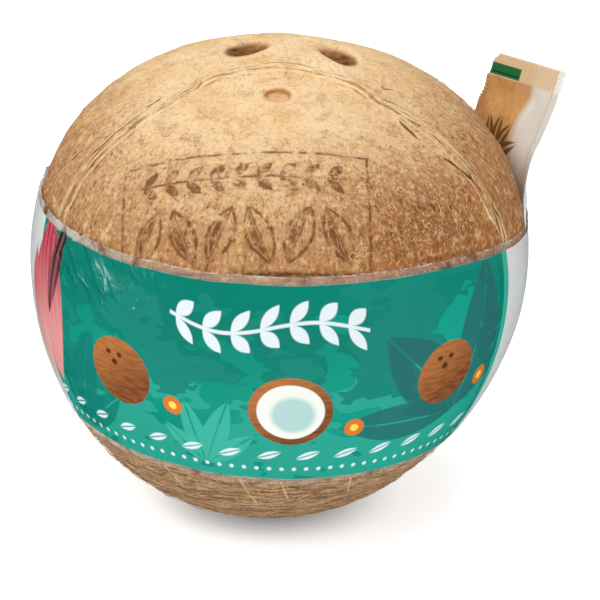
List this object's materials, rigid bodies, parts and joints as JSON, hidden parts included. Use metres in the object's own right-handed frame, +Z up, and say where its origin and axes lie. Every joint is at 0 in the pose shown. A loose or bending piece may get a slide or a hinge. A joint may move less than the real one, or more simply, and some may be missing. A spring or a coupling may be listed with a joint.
{
  "type": "packaged drinking coconut",
  "caption": "Sanded round coconut with eyes and ridges, a printed film sleeve shrunk round its middle, and a straw in a sealed wrapper tucked behind the sleeve.",
  "frame": {"origin": "centre of the flat spot under the nut, on the surface that it rests on", "axes": "+Z up, front of the object towards -Y, the straw's wrapper at +X"},
  "size_m": [0.1296, 0.1203, 0.1128],
  "materials": {
    "shell": "sanded, fibrous, matt",
    "film": "glossy clear film, printed on its inner face, with clear margins",
    "kraft_web": "satin kraft-coloured wrapper film with crimped seals",
    "white_web": "satin white wrapper film with crimped seals",
    "straw_paper": "matt paper"
  },
  "bodies": {
    "root": {"coconut": "shell", "sleeve": "film", "wrapper_front": "kraft_web", "wrapper_back": "white_web", "straw": "straw_paper"}
  },
  "joints": []
}
